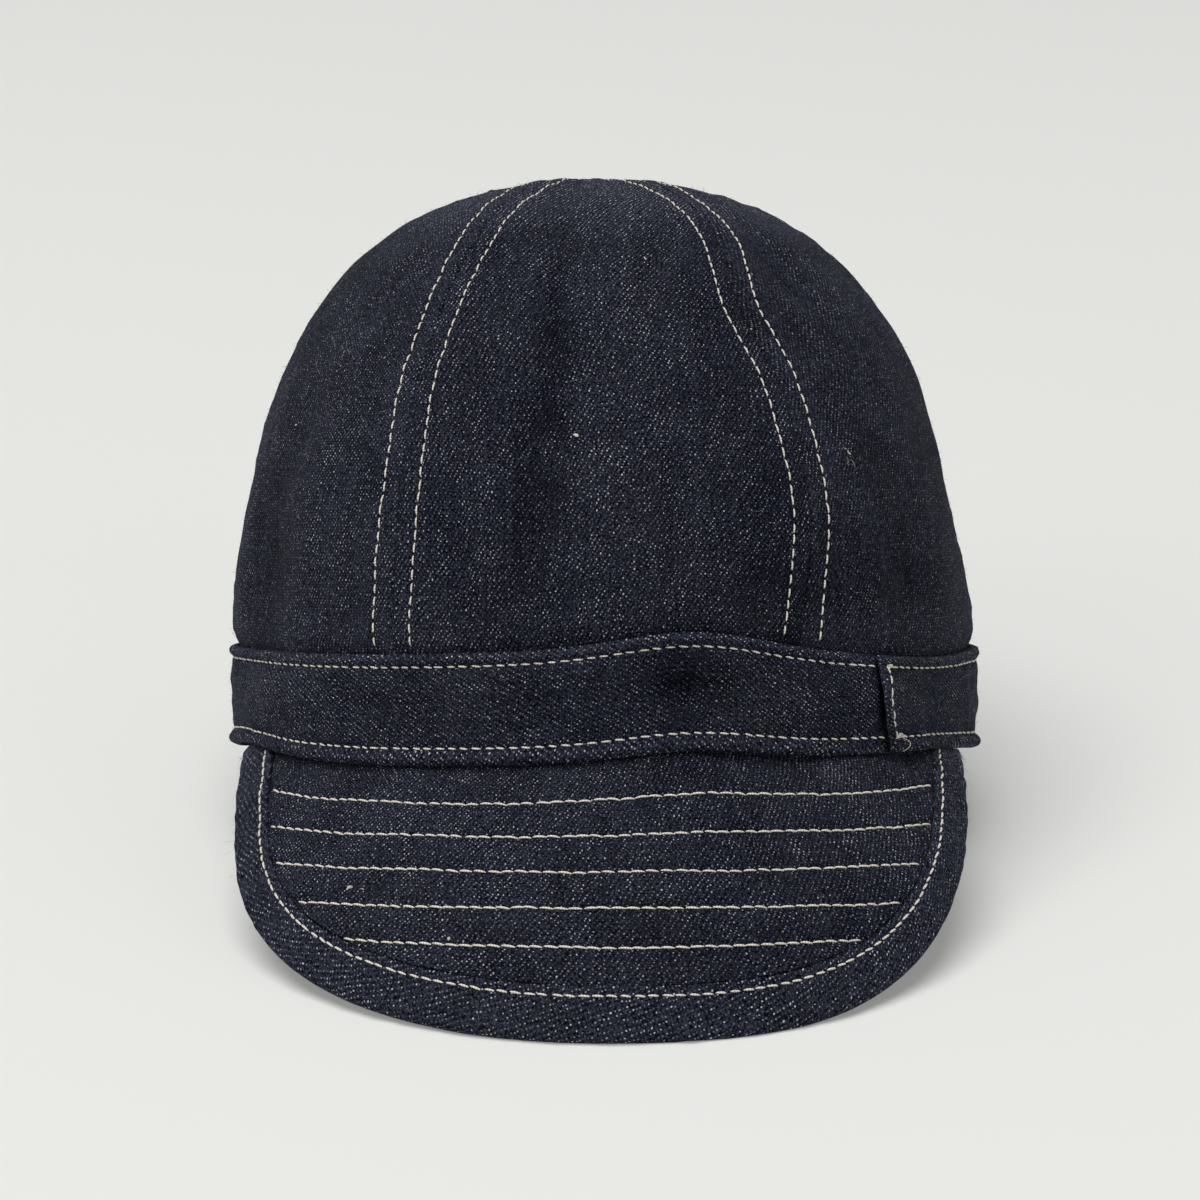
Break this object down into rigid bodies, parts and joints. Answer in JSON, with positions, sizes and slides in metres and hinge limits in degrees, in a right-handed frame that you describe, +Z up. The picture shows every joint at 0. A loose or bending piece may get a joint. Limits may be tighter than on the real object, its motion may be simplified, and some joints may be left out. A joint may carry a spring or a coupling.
{
  "type": "short-peaked denim cap",
  "caption": "Soft denim cap with a round crown of gores, a folded band with roped edges and a short quilted peak.",
  "frame": {"origin": "on the table, under the middle of the cap's bounding box", "axes": "+Z up, -Y out through the peak, +X towards the wearer's left"},
  "size_m": [0.175, 0.2574, 0.1471],
  "materials": {
    "denim": "washed black-blue twill",
    "stitching": "ecru cotton thread"
  },
  "bodies": {
    "root": {"crown_front": "denim", "crown_front_left": "denim", "crown_back_left": "denim", "crown_back": "denim", "crown_back_right": "denim", "crown_front_right": "denim", "band": "denim", "peak": "denim", "peak_binding": "denim"}
  },
  "joints": []
}
